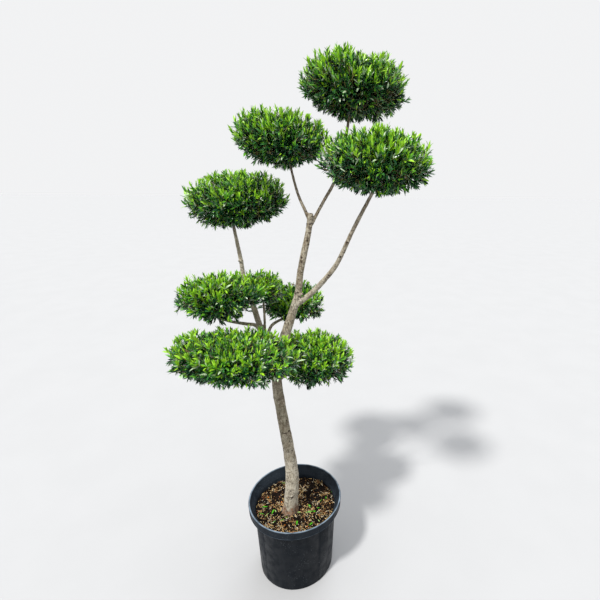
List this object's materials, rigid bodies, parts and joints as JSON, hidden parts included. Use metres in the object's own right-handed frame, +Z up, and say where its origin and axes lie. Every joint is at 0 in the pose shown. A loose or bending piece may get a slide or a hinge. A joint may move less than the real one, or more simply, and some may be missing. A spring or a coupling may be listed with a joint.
{
  "type": "potted pompon topiary",
  "caption": "Small-leaved evergreen topiary with a leaning forked trunk and clipped cloud-shaped heads of foliage on bare boughs, standing in a round nursery pot of soil.",
  "frame": {"origin": "centre of the pot's flat underside", "axes": "+Z up along the pot's axis, -Y towards the front that the picture shows, +X to its right"},
  "size_m": [0.9382, 0.6821, 2.1219],
  "materials": {
    "pot_plastic": "moulded slate-black nursery plastic with a soft bluish sheen and a paler lip",
    "soil": "loose dark bark compost strewn with straw-coloured chips",
    "bark": "pale grey-beige bark, finely cracked, with knots and lenticels",
    "bough_bark": "smoother young bark, grey-brown with pale flecks",
    "foliage": "narrow glossy green leaves, yellow-green on the young outer shoots"
  },
  "bodies": {
    "root": {"pot": "pot_plastic", "soil": "soil", "trunk": "bark", "bough_far_left": "bough_bark", "bough_upper_left": "bough_bark", "bough_top": "bough_bark", "bough_upper_right": "bough_bark", "bough_middle_left": "bough_bark", "bough_middle_centre": "bough_bark", "bough_middle_right": "bough_bark", "bough_lower_left": "bough_bark", "bough_lower_right": "bough_bark", "cloud_far_left": "foliage", "cloud_upper_left": "foliage", "cloud_upper_right": "foliage", "cloud_top": "foliage", "cloud_middle_left": "foliage", "cloud_middle_centre": "foliage", "cloud_middle_right": "foliage", "cloud_lower_left": "foliage", "cloud_lower_right": "foliage"}
  },
  "joints": []
}
